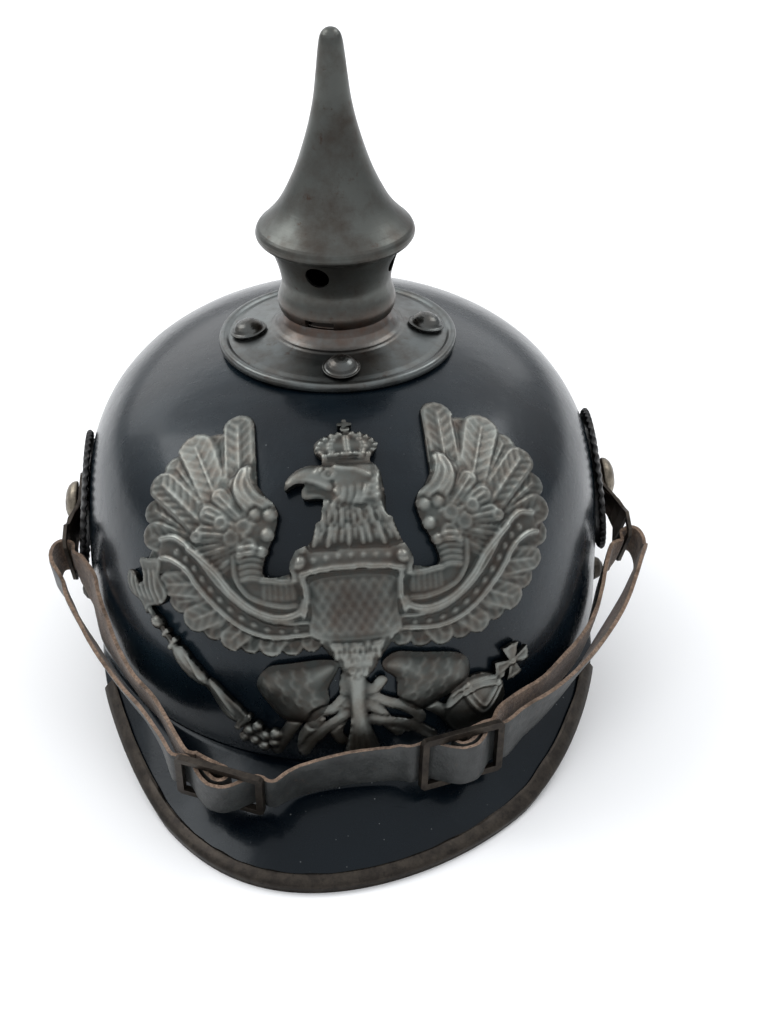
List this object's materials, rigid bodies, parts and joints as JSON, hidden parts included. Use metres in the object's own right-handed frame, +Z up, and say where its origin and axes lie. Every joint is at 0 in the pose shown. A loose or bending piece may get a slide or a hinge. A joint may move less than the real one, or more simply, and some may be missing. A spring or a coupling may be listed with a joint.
{
  "type": "spiked helmet",
  "caption": "Lacquered leather helmet with front and rear visors, a removable bayonet-fitted steel spike, an eagle plate, side cockades and a buckled leather chin strap.",
  "frame": {"origin": "on the surface it stands on, under the spike's axis, which is the middle of the overall box in plan", "axes": "+Z up along the spike, -Y towards the front visor and eagle, +X towards the wearer's left"},
  "size_m": [0.2051, 0.2899, 0.2281],
  "materials": {
    "lacquered_leather": "black lacquered leather with a worn satin sheen",
    "strap_leather": "aged black grain leather with brown raw edges",
    "grey_steel": "dull grey steel with brown patina",
    "plate_steel": "stamped grey steel, worn bright on the ridges",
    "brown_steel": "dark brown-black steel, rubbed",
    "black_enamel": "black painted stamping, worn at the rim",
    "aged_brass": "dark aged brass"
  },
  "bodies": {
    "helmet": {"skull": "lacquered_leather", "front_visor": "lacquered_leather", "front_visor_trim": "brown_steel", "rear_visor": "lacquered_leather", "spike_base": "grey_steel", "base_stud_front": "grey_steel", "base_stud_right": "grey_steel", "base_stud_rear": "grey_steel", "base_stud_left": "grey_steel", "eagle_plate": "plate_steel", "cockade_left": "black_enamel", "cockade_right": "black_enamel", "side_post_left": "aged_brass", "side_post_right": "aged_brass", "side_rivet_left": "brown_steel", "side_rivet_right": "brown_steel", "strap_lug_left": "brown_steel", "strap_lug_right": "brown_steel", "buckle_left": "brown_steel", "buckle_right": "brown_steel", "chin_strap": "strap_leather"},
    "spike": {"spike": "grey_steel"}
  },
  "joints": [
    {"name": "spike_twist", "type": "hinge", "parent": "helmet", "child": "spike", "pos_m": [0, 0, 0.135], "axis": [0, 0, 1], "range_deg": [0, 9]}
  ]
}
